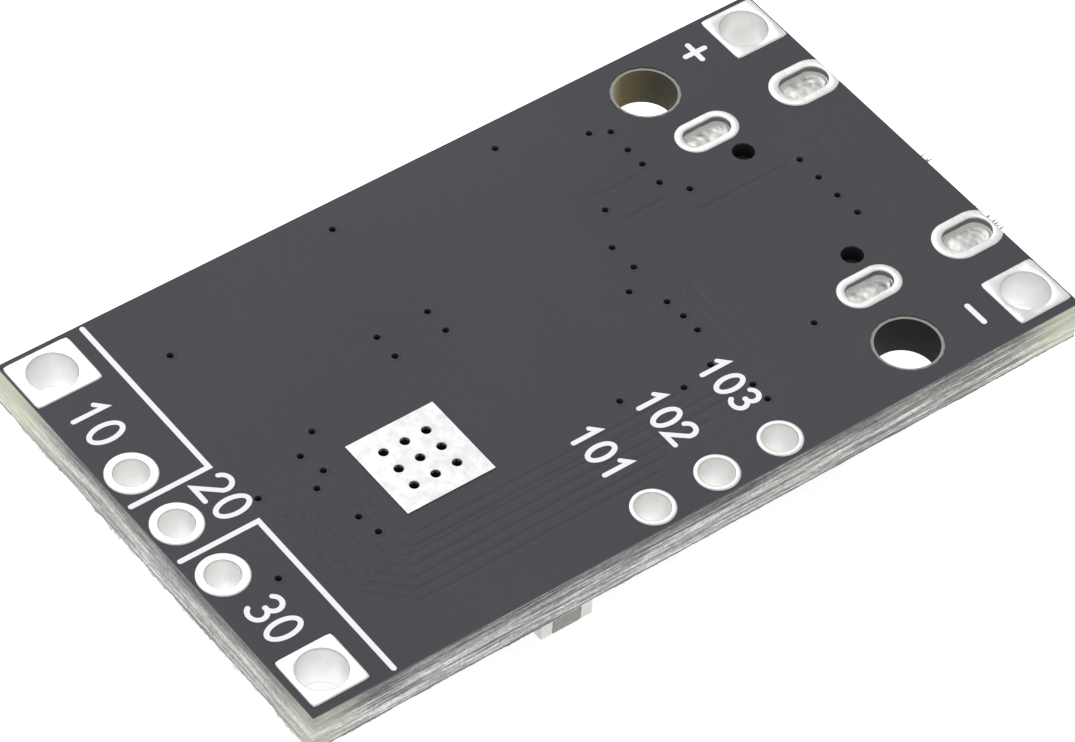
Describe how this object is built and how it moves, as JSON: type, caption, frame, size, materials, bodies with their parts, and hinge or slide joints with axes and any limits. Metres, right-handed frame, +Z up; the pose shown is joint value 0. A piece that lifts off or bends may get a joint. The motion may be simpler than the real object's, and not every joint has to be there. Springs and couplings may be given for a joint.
{
  "type": "lithium battery charger module",
  "caption": "Small circuit board that charges a two-cell lithium battery from a plug-in supply, seen solder side up, with its components and charging socket underneath.",
  "frame": {"origin": "middle of the whole object's outline, at the lowest point of the charging socket's shell", "axes": "+X from the battery end to the socket end, +Y from the near long edge (signal holes) to the far one, +Z up out of the solder side"},
  "size_m": [0.031, 0.0176, 0.0048],
  "materials": {
    "laminate": "cut glass-fibre laminate, matt and fibrous",
    "board_coat": "matt dark grey printed coat",
    "print": "white printed ink",
    "tin": "levelled tin over copper, bright with soft waves",
    "solder": "solder, satin",
    "shell_steel": "plated folded sheet, satin",
    "insulator": "black moulded plastic",
    "contact_gold": "gold plated",
    "chip_mould": "moulded black resin",
    "inductor_mould": "pressed grey powder, matt",
    "ceramic_dark": "grey-brown ceramic",
    "ceramic_tan": "tan ceramic",
    "ceramic_white": "white ceramic",
    "resistor_coat": "black glaze, glossy",
    "lamp_lens": "milky resin",
    "end_cap": "tinned end, satin"
  },
  "bodies": {
    "root": {"board_laminate": "laminate", "solder_side_coat": "board_coat", "component_side_coat": "board_coat", "solder_side_print": "print", "component_side_print": "print", "corner_pad_battery_far": "tin", "corner_pad_battery_near": "tin", "corner_pad_socket_far": "tin", "corner_pad_socket_near": "tin", "battery_hole_pad_1": "tin", "battery_hole_pad_2": "tin", "battery_hole_pad_3": "tin", "signal_hole_pad_1": "tin", "signal_hole_pad_2": "tin", "signal_hole_pad_3": "tin", "slot_pads_rear": "tin", "slot_pads_front": "tin", "leg_solder": "solder", "heat_pad": "tin", "component_lands": "tin", "solder_joints": "solder", "socket_shell": "shell_steel", "socket_insulator": "insulator", "socket_contacts_board_row": "contact_gold", "socket_contacts_outer_row": "contact_gold", "socket_mid_plate": "shell_steel", "charger_chip_body": "chip_mould", "charger_chip_leads": "solder", "inductor_core": "inductor_mould", "inductor_clips": "solder", "edge_capacitor_body": "ceramic_dark", "output_capacitor_bodies": "ceramic_tan", "input_capacitor_bodies": "ceramic_tan", "small_capacitor_bodies": "ceramic_tan", "balance_resistor_bodies": "ceramic_white", "small_resistor_bodies": "ceramic_white", "indicator_lamp_bodies": "ceramic_white", "balance_resistor_coats": "resistor_coat", "small_resistor_coats": "resistor_coat", "indicator_lamp_lenses": "lamp_lens", "edge_capacitor_end_caps": "end_cap", "output_capacitor_end_caps": "end_cap", "input_capacitor_end_caps": "end_cap", "small_capacitor_end_caps": "end_cap", "balance_resistor_end_caps": "end_cap", "small_resistor_end_caps": "end_cap", "indicator_lamp_end_caps": "end_cap"}
  },
  "joints": []
}
